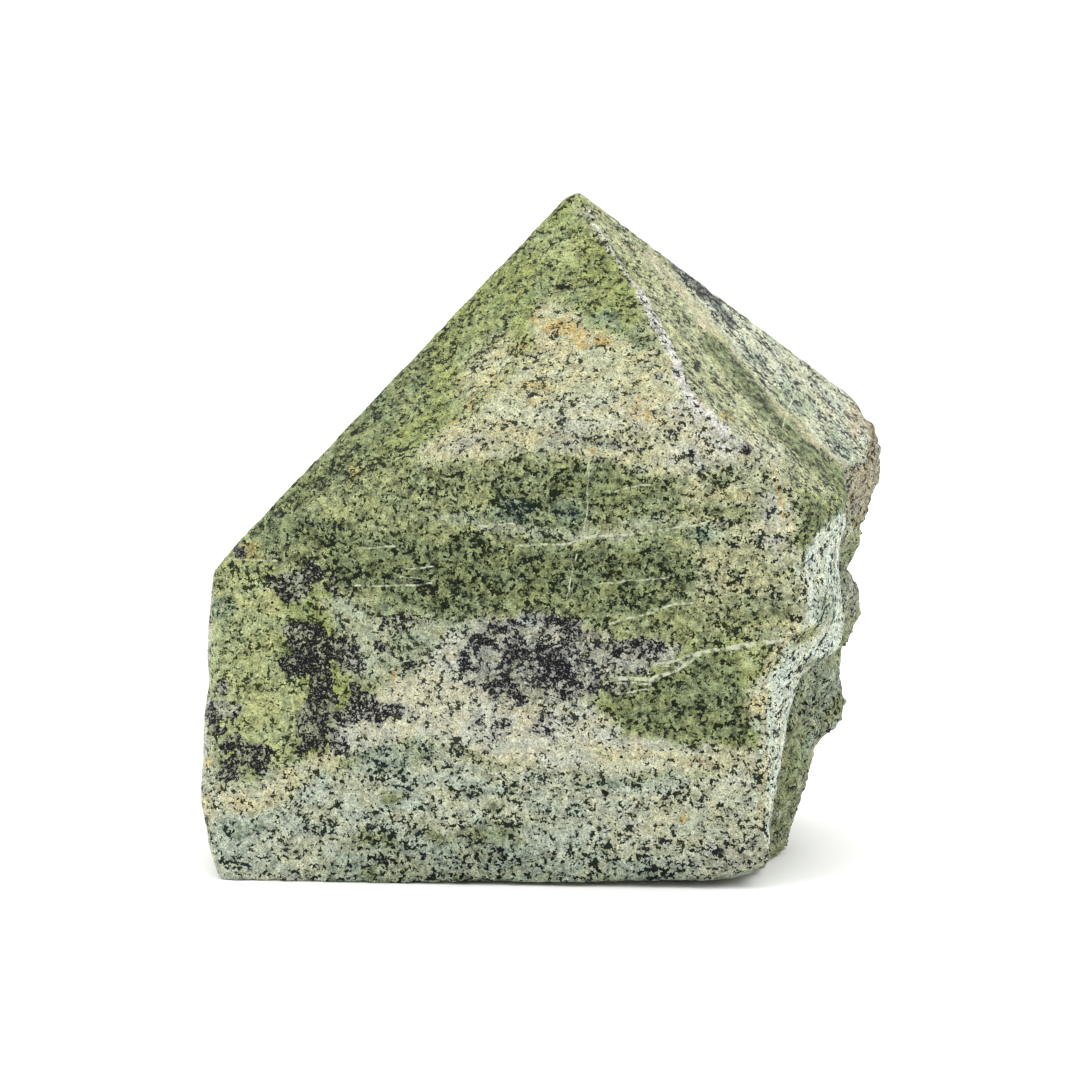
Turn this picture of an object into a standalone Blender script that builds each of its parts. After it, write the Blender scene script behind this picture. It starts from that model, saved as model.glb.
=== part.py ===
"""Serpentine rock: one raw chunk of stone with a flat sawn front, a sawn base and a six-sided point on top.

Heights, widths and depths are in millimetres and become metres in place().
X is to the right, Y is away from the viewer and Z is up.
"""
import math

import bmesh
import bpy
from mathutils import Matrix, Vector, noise

MM = 0.001
NODE = "serpentine_rock"

# The point: where its six sawn facets meet, and which way each facet faces and slopes.
# A facing of 0 degrees is towards the viewer and 90 degrees is to the right.
APEX = Vector((5.0, 4.0, 97.3))
# How much of the very tip is worn away.
APEX_WEAR = 0.8
FACETS = {
    "front": (-14.0, 49.7),
    "left front": (-33.1, 49.2),
    "right front": (58.7, 43.4),
    "right back": (125.0, 40.8),
    "back": (186.0, 45.0),
    "left back": (-105.0, 49.9),
}

# The sawn front: its depth at FRONT_X on the base, how far it turns to the left, and how far it leans back.
FRONT_X = 23.0
FRONT_Y = -32.0
FRONT_TURN = 0.07
FRONT_LEAN = 0.0875
# Its left part curves back from FOLD_X to KNEE_X, by FOLD_FOOT on the base and by FOLD_TOP at FOLD_HEIGHT.
FOLD_X = 0.0
KNEE_X = -42.0
FOLD_FOOT = 0.9
FOLD_TOP = 5.7
FOLD_HEIGHT = 46.0

# Edges that run up the chunk, each as (height, across, depth) at the points that its shape needs.
LEFT_EDGE = (
    (-3.0, -45.6, -26.5),
    (0.1, -46.1, -26.0),
    (2.6, -47.1, -24.5),
    (6.6, -48.3, -22.5),
    (10.8, -48.9, -21.0),
    (17.6, -48.5, -20.0),
    (22.7, -48.4, -19.0),
    (27.8, -47.7, -18.5),
    (31.3, -47.9, -18.0),
    (39.3, -47.4, -17.0),
    (43.5, -46.9, -16.0),
    (70.0, -46.0, -14.0),
)
# The right edge of the sawn front, as (height, across), because its depth is that of the front.
FRONT_RIGHT_EDGE = (
    (-3.0, 32.0),
    (6.1, 32.1),
    (10.7, 31.4),
    (17.9, 31.1),
    (25.5, 31.0),
    (28.5, 29.8),
    (30.6, 31.3),
    (34.3, 33.8),
    (38.5, 37.7),
    (41.0, 37.8),
    (44.0, 36.6),
    (47.8, 36.3),
    (51.7, 37.2),
    (55.7, 36.0),
    (62.0, 30.0),
    (70.0, 28.0),
)
STRIP_BACK_EDGE = (
    (-3.0, 32.3, -31.6),
    (5.7, 32.5, -30.4),
    (11.1, 33.3, -29.2),
    (17.3, 34.5, -28.0),
    (22.6, 35.3, -26.4),
    (27.5, 36.7, -25.2),
    (30.2, 37.6, -24.6),
    (31.2, 40.6, -23.0),
    (32.9, 43.3, -21.0),
    (36.2, 43.9, -20.0),
    (41.0, 43.3, -20.0),
    (46.5, 42.9, -20.0),
    (49.9, 43.8, -20.0),
    (54.2, 44.5, -18.6),
    (60.0, 45.6, -16.0),
    (70.0, 45.6, -14.0),
)
REAR_LAYER_CREST = (
    (-3.0, 36.6, 8.0),
    (1.5, 37.5, 5.0),
    (7.6, 38.4, 3.0),
    (12.8, 39.3, 2.0),
    (15.2, 39.3, 0.5),
    (18.0, 43.2, 0.0),
    (20.8, 44.2, 0.0),
    (26.1, 44.1, 0.0),
    (28.4, 43.3, 0.0),
    (30.9, 45.4, 1.0),
    (33.7, 46.5, 3.0),
    (37.0, 47.0, 3.0),
    (42.1, 45.3, 4.0),
    (46.3, 47.0, 6.0),
    (50.0, 48.9, 8.0),
    (53.2, 50.1, 10.0),
    (56.2, 50.6, 10.0),
    (61.8, 48.8, 7.5),
    (66.2, 46.3, 6.6),
    (70.0, 45.0, 6.0),
)
# The rear layer's broken face in front of its crest, and behind it.
REAR_LAYER_FACE = (
    (-3.0, 34.2, -13.0),
    (8.0, 35.2, -14.0),
    (15.0, 37.4, -13.0),
    (22.0, 37.4, -13.0),
    (29.0, 41.8, -11.0),
    (35.0, 42.0, -10.0),
    (47.0, 44.6, -7.0),
    (54.0, 46.0, -6.0),
    (60.0, 47.6, -5.0),
    (70.0, 46.0, -4.0),
)
REAR_LAYER_BACK = (
    (-3.0, 35.0, 13.0),
    (12.0, 36.0, 12.0),
    (22.0, 37.6, 11.0),
    (30.0, 42.6, 12.0),
    (38.0, 41.4, 13.0),
    (45.0, 43.8, 15.0),
    (50.0, 44.0, 16.0),
    (60.0, 47.6, 16.0),
    (70.0, 44.0, 15.0),
)
# The raw back and left side, plain here because the fracture below breaks them up.
RIGHT_BACK_CORNER = (
    (-3.0, 34.5, 21.0),
    (14.0, 37.0, 22.0),
    (28.0, 40.0, 23.0),
    (45.0, 41.0, 24.0),
    (70.0, 42.0, 24.0),
)
BACK_RIGHT = ((-3.0, 24.0, 32.0), (25.0, 27.0, 36.5), (50.0, 28.0, 37.5), (70.0, 26.0, 36.0))
BACK_MIDDLE = ((-3.0, -4.0, 34.0), (30.0, -2.0, 38.5), (55.0, 0.0, 38.5), (70.0, 0.0, 37.0))
BACK_LEFT = ((-3.0, -30.0, 27.0), (30.0, -33.0, 31.5), (60.0, -30.0, 32.0), (70.0, -30.0, 31.0))
LEFT_BACK = ((-3.0, -43.0, 9.0), (25.0, -46.0, 12.0), (45.0, -45.0, 12.0), (70.0, -43.0, 12.0))
LEFT_SIDE = ((-3.0, -46.0, -8.0), (25.0, -47.4, -5.0), (45.0, -46.4, -4.0), (70.0, -45.0, -3.0))

# All the edges of the raw stone, in the order they stand around it from the strip to the left edge.
RAW_EDGES = (
    REAR_LAYER_FACE,
    REAR_LAYER_CREST,
    REAR_LAYER_BACK,
    RIGHT_BACK_CORNER,
    BACK_RIGHT,
    BACK_MIDDLE,
    BACK_LEFT,
    LEFT_BACK,
    LEFT_SIDE,
)

# How far the groove between the strip and the rear layer lies in from the strip's back edge, and behind it.
GROOVE_IN = 1.3
GROOVE_BEHIND = 4.0
# How far the strip bows out between its edges.
STRIP_BULGE = 0.6
# How far in from the left edge the front and the left side would meet in a sharp corner, before it is rolled.
CORNER_IN = 1.2

# Each stretch of a level outline: steps along it, and how raw the stone is at its start, from 0 to 1.
STRETCHES = (
    ("front roll", 6, 0.1),
    ("front", 24, 0.0),
    ("strip", 5, 0.0),
    ("groove", 3, 0.0),
    ("rear layer", 6, 0.4),
    ("rear layer face", 7, 0.6),
    ("rear layer crest", 5, 0.15),
    ("rear layer back", 5, 0.8),
    ("right back corner", 7, 0.9),
    ("back right", 10, 1.0),
    ("back", 11, 1.0),
    ("back left", 10, 1.0),
    ("left back", 8, 0.9),
    ("left side", 6, 0.35),
)

# Heights of the levels. The chunk is drawn a little below its base and above its point, then sawn.
LOWEST_LEVEL = -3.0
HIGHEST_LEVEL = 70.0
LEVEL_COUNT = 42
TOP_LEVEL = 100.0

# Fracture of the raw stone: lumps, ledges that follow the bedding, and small breaks.
BEDDING = Vector((0.15, 0.91, -0.39)).normalized()
LUMP_SIZE = 24.0
LUMP_HEIGHT = 3.4
LUMP_SHIFT = Vector((3.1, 0.0, 7.7))
LEDGE_SPACING = 8.5
LEDGE_HEIGHT = 1.9
# The share of a ledge that rises slowly; the rest is its steep break.
LEDGE_RISE = 0.75
# How far the ledges wander from flat beds, and over what distance.
LEDGE_WANDER = 3.0
WANDER_SIZE = 19.0
WANDER_SHIFT = Vector((11.0, 5.0, 2.0))
BREAK_SIZE = 7.0
BREAK_HEIGHT = 1.1
BREAK_SHIFT = Vector((0.0, 9.0, 4.0))
# The slight waves that lapping leaves in the sawn faces.
SAWN_WAVE_SIZE = 30.0
SAWN_WAVE_HEIGHT = 0.25
SAWN_WAVE_SHIFT = Vector((1.0, 2.0, 3.0))

# Two shallow breaks that lift the front right foot of the rock off its base, as three points each.
FOOT_BREAKS = (
    ((-22.0, -30.0, 0.0), (24.0, -33.0, 1.1), (30.0, -12.0, 0.0)),
    ((24.0, -33.0, 0.9), (32.3, -33.0, 4.0), (33.5, -20.0, 0.0)),
)

# Points closer together than this are joined.
CLEAN_UP = 0.02

STONE_COLOUR = (0.30, 0.36, 0.20, 1.0)
STONE_ROUGHNESS = 0.55


def clear_scene():
    for old in list(bpy.data.objects):
        bpy.data.objects.remove(old, do_unlink=True)


def along(points, height):
    """Read a hand-set edge at a height: smooth through its points, and straight past its ends."""
    last = len(points) - 1
    k = 0
    while k < last - 1 and height > points[k + 1][0]:
        k += 1
    start, end = points[k], points[k + 1]
    gap = end[0] - start[0]
    t = min(max((height - start[0]) / gap, 0.0), 1.0)
    place = []
    for axis in range(1, len(start)):
        rise = (end[axis] - start[axis]) / gap
        before = slope_at(points, k, axis, rise)
        after = slope_at(points, k + 1, axis, rise)
        place.append(
            (2 * t ** 3 - 3 * t ** 2 + 1) * start[axis]
            + (t ** 3 - 2 * t ** 2 + t) * gap * before
            + (3 * t ** 2 - 2 * t ** 3) * end[axis]
            + (t ** 3 - t ** 2) * gap * after
        )
    return place


def slope_at(points, k, axis, end_slope):
    """Slope of an edge at one of its points, level where it turns back, so that it never overshoots."""
    if k == 0 or k == len(points) - 1:
        return end_slope
    rise_in = (points[k][axis] - points[k - 1][axis]) / (points[k][0] - points[k - 1][0])
    rise_out = (points[k + 1][axis] - points[k][axis]) / (points[k + 1][0] - points[k][0])
    if rise_in * rise_out <= 0.0:
        return 0.0
    return 2.0 * rise_in * rise_out / (rise_in + rise_out)


def front_depth(across, height):
    """Depth of the sawn front, which is flat on the right and curves back on the left."""
    t = min(max((FOLD_X - across) / (FOLD_X - KNEE_X), 0.0), 1.0)
    fold = FOLD_FOOT + (FOLD_TOP - FOLD_FOOT) * height / FOLD_HEIGHT
    return FRONT_Y + (FRONT_X - across) * FRONT_TURN + FRONT_LEAN * height + fold * t * t * (3.0 - 2.0 * t)


def front_points(left_x, right_x, height, steps):
    """Points of the sawn front from its left knee up to but not at its right edge."""
    points = []
    for step in range(steps):
        across = left_x + (right_x - left_x) * step / steps
        points.append(Vector((across, front_depth(across, height))))
    return points


def straight(start, end, steps, bulge=0.0):
    """Points from start up to but not at end, bowed outwards to the right of the way they run."""
    out = Vector((end.y - start.y, start.x - end.x)).normalized() * bulge
    points = []
    for step in range(steps):
        t = step / steps
        points.append(start.lerp(end, t) + out * 4.0 * t * (1.0 - t))
    return points


def curved(before, start, end, after, steps):
    """Points of a smooth curve from start up to but not at end, given its neighbours."""
    points = []
    for step in range(steps):
        t = step / steps
        points.append(
            0.5
            * (
                2.0 * start
                + (end - before) * t
                + (2.0 * before - 5.0 * start + 4.0 * end - after) * t ** 2
                + (3.0 * start - before - 3.0 * end + after) * t ** 3
            )
        )
    return points


def rolled(start, corner, end, steps):
    """Points of the soft roll from a side into a flat face, up to but not at end."""
    points = []
    for step in range(steps):
        t = step / steps
        points.append(start.lerp(corner, t).lerp(corner.lerp(end, t), t))
    return points


def level_outline(height):
    """The chunk's outline at a height, as across and depth points, starting at the left edge of the front."""
    steps = [stretch[1] for stretch in STRETCHES]
    left = Vector(along(LEFT_EDGE, height))
    corner_x = left.x + CORNER_IN
    corner = Vector((corner_x, front_depth(corner_x, height)))
    knee = Vector((KNEE_X, front_depth(KNEE_X, height)))
    right_x = along(FRONT_RIGHT_EDGE, height)[0]
    right = Vector((right_x, front_depth(right_x, height)))
    strip_back = Vector(along(STRIP_BACK_EDGE, height))
    groove = strip_back + Vector((-GROOVE_IN, GROOVE_BEHIND))
    raw = [Vector(along(edge, height)) for edge in RAW_EDGES]

    outline = rolled(left, corner, knee, steps[0])
    outline += front_points(KNEE_X, right_x, height, steps[1])
    outline += straight(right, strip_back, steps[2], STRIP_BULGE)
    outline += straight(strip_back, groove, steps[3])
    way = [strip_back, groove] + raw + [left, corner]
    for k in range(1, len(way) - 2):
        outline += curved(way[k - 1], way[k], way[k + 1], way[k + 2], steps[k + 3])
    return outline


def rawness():
    """How raw the stone is at each point of an outline."""
    weights = []
    for k, (_, steps, start) in enumerate(STRETCHES):
        end = STRETCHES[(k + 1) % len(STRETCHES)][2]
        weights += [start + (end - start) * step / steps for step in range(steps)]
    return weights


def fracture(point, weight):
    """How far the stone's surface stands out from its plain form at a point."""
    lumps = noise.fractal(point / LUMP_SIZE + LUMP_SHIFT, 1.0, 2.0, 3) * LUMP_HEIGHT
    wander = noise.noise(point / WANDER_SIZE + WANDER_SHIFT) * LEDGE_WANDER
    bed = (point.dot(BEDDING) + wander) / LEDGE_SPACING
    step = bed - math.floor(bed)
    ledge = (min(step / LEDGE_RISE, (1.0 - step) / (1.0 - LEDGE_RISE)) - 0.5) * LEDGE_HEIGHT
    breaks = noise.fractal(point / BREAK_SIZE + BREAK_SHIFT, 0.8, 2.1, 3) * BREAK_HEIGHT
    wave = noise.noise(point / SAWN_WAVE_SIZE + SAWN_WAVE_SHIFT) * SAWN_WAVE_HEIGHT
    return weight * (lumps + ledge + breaks) + (1.0 - weight) * wave


def broken_outline(height, weights):
    """A level outline with the fracture added, each point moved straight out from the outline."""
    plain = level_outline(height)
    count = len(plain)
    points = []
    for k, here in enumerate(plain):
        run = plain[(k + 1) % count] - plain[k - 1]
        out = Vector((run.y, -run.x)).normalized()
        place = Vector((here.x, here.y, height))
        moved = here + out * fracture(place, weights[k])
        points.append(Vector((moved.x, moved.y, height)))
    return points


def raw_chunk():
    """Roll a flat grid into a tube, one row of it for each level, and close both ends."""
    weights = rawness()
    count = len(weights)
    gap = (HIGHEST_LEVEL - LOWEST_LEVEL) / (LEVEL_COUNT - 1)
    levels = [broken_outline(LOWEST_LEVEL + gap * k, weights) for k in range(LEVEL_COUNT)]
    levels.append([Vector((p.x, p.y, TOP_LEVEL)) for p in levels[-1]])
    bm = bmesh.new()
    bmesh.ops.create_grid(bm, x_segments=count, y_segments=LEVEL_COUNT, size=0.5)
    for vert in bm.verts:
        column = round((vert.co.x + 0.5) * count)
        row = round((vert.co.y + 0.5) * LEVEL_COUNT)
        vert.co = levels[row][column % count]
    bmesh.ops.remove_doubles(bm, verts=bm.verts, dist=CLEAN_UP)
    bmesh.ops.holes_fill(bm, edges=[edge for edge in bm.edges if edge.is_boundary], sides=0)
    bmesh.ops.recalc_face_normals(bm, faces=bm.faces)
    return bm


def saw(bm, point, outward):
    """Cut the stone flat through a point, and close the cut with one face."""
    everything = bm.verts[:] + bm.edges[:] + bm.faces[:]
    cut = bmesh.ops.bisect_plane(
        bm, geom=everything, dist=CLEAN_UP, plane_co=point, plane_no=outward, clear_outer=True
    )
    rim = [item for item in cut["geom_cut"] if isinstance(item, bmesh.types.BMEdge) and item.is_boundary]
    bmesh.ops.holes_fill(bm, edges=rim, sides=0)


def facing(azimuth, slope):
    """Outward direction of a facet."""
    turn = math.radians(azimuth)
    tip = math.radians(slope)
    return Vector((math.sin(turn) * math.sin(tip), -math.cos(turn) * math.sin(tip), math.cos(tip)))


def saw_point(bm):
    for azimuth, slope in FACETS.values():
        saw(bm, APEX, facing(azimuth, slope))
    saw(bm, APEX - Vector((0.0, 0.0, APEX_WEAR)), Vector((0.0, 0.0, 1.0)))


def saw_base(bm):
    saw(bm, Vector((0.0, 0.0, 0.0)), Vector((0.0, 0.0, -1.0)))
    for corners in FOOT_BREAKS:
        a, b, c = (Vector(corner) for corner in corners)
        down = (b - a).cross(c - a)
        if down.z > 0.0:
            down = -down
        saw(bm, a, down.normalized())


def place(bm):
    """Bring the rock to metres, with the middle of its box on the base at the origin."""
    low = Vector([min(vert.co[axis] for vert in bm.verts) for axis in range(3)])
    high = Vector([max(vert.co[axis] for vert in bm.verts) for axis in range(3)])
    middle = (low + high) / 2.0
    bmesh.ops.translate(bm, verts=bm.verts, vec=(-middle.x, -middle.y, -low.z))
    bmesh.ops.transform(bm, matrix=Matrix.Scale(MM, 4), verts=bm.verts)


def stone():
    material = bpy.data.materials.new("serpentine")
    material.use_nodes = True
    shader = material.node_tree.nodes["Principled BSDF"]
    shader.inputs["Base Color"].default_value = STONE_COLOUR
    shader.inputs["Roughness"].default_value = STONE_ROUGHNESS
    shader.inputs["Metallic"].default_value = 0.0
    return material


def rock():
    bm = raw_chunk()
    saw_point(bm)
    saw_base(bm)
    bmesh.ops.triangulate(bm, faces=bm.faces)
    bmesh.ops.dissolve_degenerate(bm, dist=CLEAN_UP, edges=bm.edges)
    bmesh.ops.triangulate(bm, faces=bm.faces)
    place(bm)
    mesh = bpy.data.meshes.new(NODE)
    bm.to_mesh(mesh)
    bm.free()
    mesh.materials.append(stone())
    item = bpy.data.objects.new(NODE, mesh)
    bpy.context.scene.collection.objects.link(item)
    return item


clear_scene()
rock()
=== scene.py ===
"""Looks of the serpentine rock: its fine worn surface, its banded, speckled stone and a pale studio.

Lengths in the lists below are in millimetres in the frame of the part: X to the right, Z up, -Y to the
viewer. "Across" is along X and "up" is along Z.
"""
import math

import bmesh
import bpy
import numpy as np
from bpy.props import FloatProperty, FloatVectorProperty, IntProperty, PointerProperty
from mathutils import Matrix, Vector, noise
from mathutils.bvhtree import BVHTree


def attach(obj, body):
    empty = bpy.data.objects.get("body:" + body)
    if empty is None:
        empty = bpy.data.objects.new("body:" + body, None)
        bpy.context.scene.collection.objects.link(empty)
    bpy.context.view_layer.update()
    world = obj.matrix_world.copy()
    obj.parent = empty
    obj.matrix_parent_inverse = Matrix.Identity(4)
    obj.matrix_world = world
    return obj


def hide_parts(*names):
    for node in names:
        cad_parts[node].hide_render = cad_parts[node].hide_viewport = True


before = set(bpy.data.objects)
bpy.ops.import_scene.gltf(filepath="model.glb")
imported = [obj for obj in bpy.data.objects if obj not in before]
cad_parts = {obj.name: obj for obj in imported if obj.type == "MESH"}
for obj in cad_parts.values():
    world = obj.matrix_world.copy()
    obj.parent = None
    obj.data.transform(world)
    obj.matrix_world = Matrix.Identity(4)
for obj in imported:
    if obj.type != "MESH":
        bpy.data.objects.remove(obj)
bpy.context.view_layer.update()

bl_info = {
    "name": "Serpentine Rock",
    "version": (1, 0, 0),
    "blender": (4, 5, 0),
    "location": "View3D > Sidebar > Stone",
    "description": "Dresses a sawn and broken piece of serpentine rock and sets up a pale studio for it",
    "category": "Object",
}

MM = 0.001
NODE = "serpentine_rock"
PIECE = "serpentine_rock_surface"
MERGE_DISTANCE = 1e-6

# The foliation of the rock. Grains are flat along it, and the broad beds lie nearly along it.
FOLIATION = Vector((0.10, 0.90, -0.40)).normalized()
GRAIN_FLATNESS = 1.1
FLECK_FLATNESS = 1.3
STREAK_FLATNESS = 5.0

# Noise of the shape: size of its largest waves, a shift that gives each its own pattern, and octaves.
SMALL_CHIPS = (2.1, 7.0, 2)
WIDE_CHIPS = (5.2, 5.0, 2)
SAW_GRAIN = (1.6, 3.0, 2)
LUMPS = (5.0, 1.0, 5)
CREASES = (3.6, 9.0, 3)

# Each octave of that noise is finer than the one before by this ratio, and lower by this power of it.
OCTAVE_RATIO = 2.0
OCTAVE_FALL = 1.0
SHIFT_WAY = Vector((1.0, 2.0, 3.0))

# Chips start where their noise passes these levels. The wide ones are a share of the small ones' depth.
SMALL_CHIP_LEVEL = 0.12
WIDE_CHIP_LEVEL = 0.1
WIDE_CHIP_SHARE = 0.5
CHIP_SCALE = 2.0

# Creases of the raw stone: their share of the breaks, their height, and how steeply they fall off.
CREASE_SHARE = 0.6
CREASE_HEIGHT = 0.5
CREASE_SLOPE = 2.0

# An edge is worn more, the higher it stands over the surface smoothed this many times.
WIDE_SMOOTHING = 40
SMOOTHING_PULL = 0.5
WORN_HEIGHTS = (0.08, 0.5)

# Where the pale strip of the right side ends: depth at the base, and how that line leans back with height.
STRIP_FOOT = -32.0
STRIP_LEAN = 0.25
STRIP_SOFTNESS = 0.8
STEP_MIDDLE = 1.3
STEP_FROM = 15.0

# Where the left side turns from sawn to raw: depths at the base, and their lean. Flat tops are sawn.
LEFT_RAW = (-26.0, -16.0)
LEFT_LEAN = 0.20
FLAT_TOP = (0.35, 0.6)


def linear(red, green, blue):
    """A colour given as 8-bit screen values, in the linear values that shaders take."""
    parts = []
    for value in (red, green, blue):
        share = value / 255.0
        parts.append(share / 12.92 if share <= 0.04045 else ((share + 0.055) / 1.055) ** 2.4)
    return tuple(parts)


def colour_setting(name, description, red, green, blue):
    """A colour that a user can change, given as 8-bit screen values."""
    return FloatVectorProperty(
        name=name,
        description=description,
        default=linear(red, green, blue),
        min=0.0,
        max=1.0,
        subtype="COLOR",
        size=3,
    )


# Beds of the stone across the foliation, from the front one back: where each starts, and its kind of stone.
# The first one reaches in front of them all.
FIRST_BED = "cream"
BEDS = (
    (-48.6, "lime"),
    (-36.0, "mint"),
    (-27.0, "lime"),
    (-16.0, "cream"),
    (-12.5, "olive"),
    (-2.0, "mint"),
    (9.0, "lime"),
    (20.0, "mint"),
    (25.0, "olive"),
    (33.0, "lime"),
)

# Each kind of stone: how common its dark flecks are, in standard deviations of the fleck noise from half and
# half, the colours of its palest and its darkest grains, and where between dark and pale its dull grains lie.
KINDS = {
    "lime": (-0.90, (184, 195, 129), (34, 40, 18), 0.28),
    "fern": (-0.85, (216, 220, 176), (36, 44, 22), 0.32),
    "moss": (-0.70, (169, 180, 132), (20, 32, 10), 0.12),
    "pine": (-0.32, (160, 173, 128), (14, 26, 8), 0.10),
    "olive": (-0.85, (192, 200, 151), (24, 36, 12), 0.16),
    "mixed": (-0.92, (218, 219, 179), (30, 38, 18), 0.26),
    "yellow": (-1.05, (206, 213, 160), (48, 56, 24), 0.34),
    "sallow": (-1.00, (206, 212, 182), (50, 58, 40), 0.34),
    "cream": (-1.15, (226, 224, 187), (52, 56, 36), 0.44),
    "pale": (-1.26, (230, 229, 208), (52, 58, 42), 0.50),
    "chalk": (-0.92, (223, 226, 199), (32, 38, 26), 0.44),
    "mint": (-0.88, (217, 223, 202), (26, 40, 26), 0.40),
    "sage": (-0.60, (193, 204, 181), (6, 14, 10), 0.31),
    "strip": (-1.05, (241, 248, 233), (24, 40, 28), 0.52),
    "beige": (-1.02, (232, 230, 197), (42, 44, 24), 0.44),
    "line": (-2.20, (224, 220, 188), (60, 58, 36), 0.50),
    "frost": (-0.68, (234, 238, 213), (20, 30, 24), 0.48),
    "teal": (-0.25, (177, 192, 163), (12, 38, 30), 0.22),
    "grey": (-0.62, (206, 208, 192), (40, 42, 38), 0.26),
    "raw": (-0.55, (184, 190, 166), (38, 46, 34), 0.26),
    "rust": (-0.85, (214, 204, 180), (78, 58, 48), 0.34),
    "charcoal": (0.35, (170, 176, 166), (24, 28, 26), 0.20),
    # Not a stone: painted shade inside small pits.
    "shaded_pit": (3.00, (36, 38, 30), (10, 12, 8), 0.20),
}

# Regions of the front as seen by the viewer, one painted over the other: kind, softness of the border, and
# corners across and up.
REGIONS = (
    ("lime", 1.5, ((4, 98), (-50, 44), (-19, 58), (0, 81), (5, 79), (10, 76.5), (17, 75))),
    ("fern", 1.0, (
        (4, 98), (5.5, 94), (17, 75), (22, 68), (27, 63.5), (35, 57), (42, 54), (45, 58), (38, 65),
        (33, 69.5), (29, 74), (26, 77.5), (22, 81), (18, 86), (10, 93),
    )),
    ("frost", 0.4, (
        (16, 89), (17.5, 84.8), (19.7, 82.5), (22.5, 79.2), (24.7, 76.5), (26.8, 73.8), (28.9, 71.5),
        (31.8, 68.3), (33.9, 66.2), (36.8, 63.4), (39.6, 61), (42.6, 58.7), (45.5, 57), (48, 60), (48, 68),
        (20, 90),
    )),
    ("cream", 1.2, (
        (0, 81.5), (-5, 75.5), (-9.5, 69), (-14, 64), (-19, 59.5), (-10, 60.5), (0, 60.8), (12, 60.5),
        (17, 60), (24, 61), (31, 59), (36, 56.5), (27.5, 63.5), (24, 67.5), (20, 71), (17, 75), (10, 76.5),
        (5, 79),
    )),
    ("olive", 1.3, (
        (-19, 59.5), (-10, 60.3), (0, 60.5), (12, 60), (16, 58.5), (20, 57), (22, 52), (37, 50), (37, 35),
        (30, 35), (18, 34), (10, 37.5), (0, 39), (-8, 39), (-14, 37), (-18, 39), (-22, 40), (-30, 40),
        (-33, 42), (-39, 44.5), (-47, 45.5), (-45, 47.5), (-38, 53), (-32, 58), (-26, 58),
    )),
    ("moss", 1.3, (
        (-31, 47.5), (-20, 49), (-10, 48.5), (0, 49.5), (10, 49), (20, 48), (22, 43), (16, 41), (10, 39.5),
        (0, 40), (-8, 39.5), (-14, 37.5), (-18, 40), (-26, 41), (-33, 44),
    )),
    ("moss", 1.0, (
        (-10, 56.5), (-2, 57), (4, 58), (10, 58.5), (17, 57), (15, 54.8), (8, 54), (4, 52), (-2, 52),
        (-8, 51.8),
    )),
    ("sallow", 0.7, (
        (-16, 51.6), (-6, 51.8), (4, 51.4), (14, 52.4), (24, 53), (24, 51.6), (14, 50.8), (4, 49.8),
        (-8, 50.2),
    )),
    ("yellow", 1.0, (
        (-47.5, 45), (-40, 44.5), (-38, 39), (-36, 37), (-37, 31), (-35, 28), (-34, 24), (-36, 19),
        (-38, 15.5), (-44, 20), (-46.5, 22), (-50, 28), (-50, 36),
    )),
    ("mixed", 1.4, (
        (16, 60.5), (24, 61), (31, 59.5), (35, 56), (37, 50), (37, 44), (37, 36), (30, 35.5), (23, 36.5),
        (21, 41), (23, 46), (21, 52), (19, 57),
    )),
    ("sallow", 1.2, (
        (-34, 40), (-25, 39.8), (-17, 38.5), (-14, 37), (-6, 39.5), (-6, 35), (-13, 29.5), (-20, 28),
        (-27, 28), (-31, 36),
    )),
    ("pale", 1.2, (
        (-30, 17), (-29, 22), (-24, 28), (-16, 32), (-13, 36), (-10, 34), (-8, 30), (-2, 27), (6, 26),
        (12, 24), (18, 21.5), (31, 20.5), (31, 16), (22, 16.5), (12, 16), (5, 16.5), (-4, 16.5),
        (-12, 18.5), (-16, 21), (-22, 19.5),
    )),
    ("grey", 1.0, (
        (-10, 37), (0, 39), (6, 38), (9, 36.5), (15, 34.5), (20, 33), (17, 31), (10, 30), (7, 26.5),
        (0, 26), (-6, 27), (-12, 29),
    )),
    ("moss", 0.8, (
        (8, 27), (14, 29.5), (18, 31), (22, 33.2), (27, 33.5), (28, 30), (29, 26), (28, 22.5), (24, 22),
        (20, 21.5), (15, 23.5), (10, 25.5),
    )),
    ("mint", 1.2, (
        (-52, -2), (-52, 8), (-40, 8.5), (-37, 13), (-35, 14.5), (-26, 16), (-24, 19.5), (-16, 20.5),
        (-12, 18), (-4, 16), (5, 16.2), (12, 15.5), (22, 15.8), (33, 15.5), (33, -2),
    )),
    ("sage", 1.5, (
        (-32, -1), (-31, 4), (-26, 7), (-18, 5.5), (-12, 7), (-3, 7.5), (4, 3.5), (12, 2.5), (24, 2),
        (26, -1),
    )),
    ("chalk", 1.5, ((9, 14), (20, 14), (32, 14), (32, 5), (20, 5), (10, 6))),
    ("beige", 1.0, (
        (-50, 12), (-46, 14), (-41, 15), (-37, 17), (-30, 18), (-28, 16), (-35, 14.5), (-38, 11), (-41, 9),
        (-50, 8.5),
    )),
    ("beige", 0.8, ((5, 21), (15, 20.5), (31, 20), (31, 16.8), (20, 16.8), (8, 17))),
)

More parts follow.
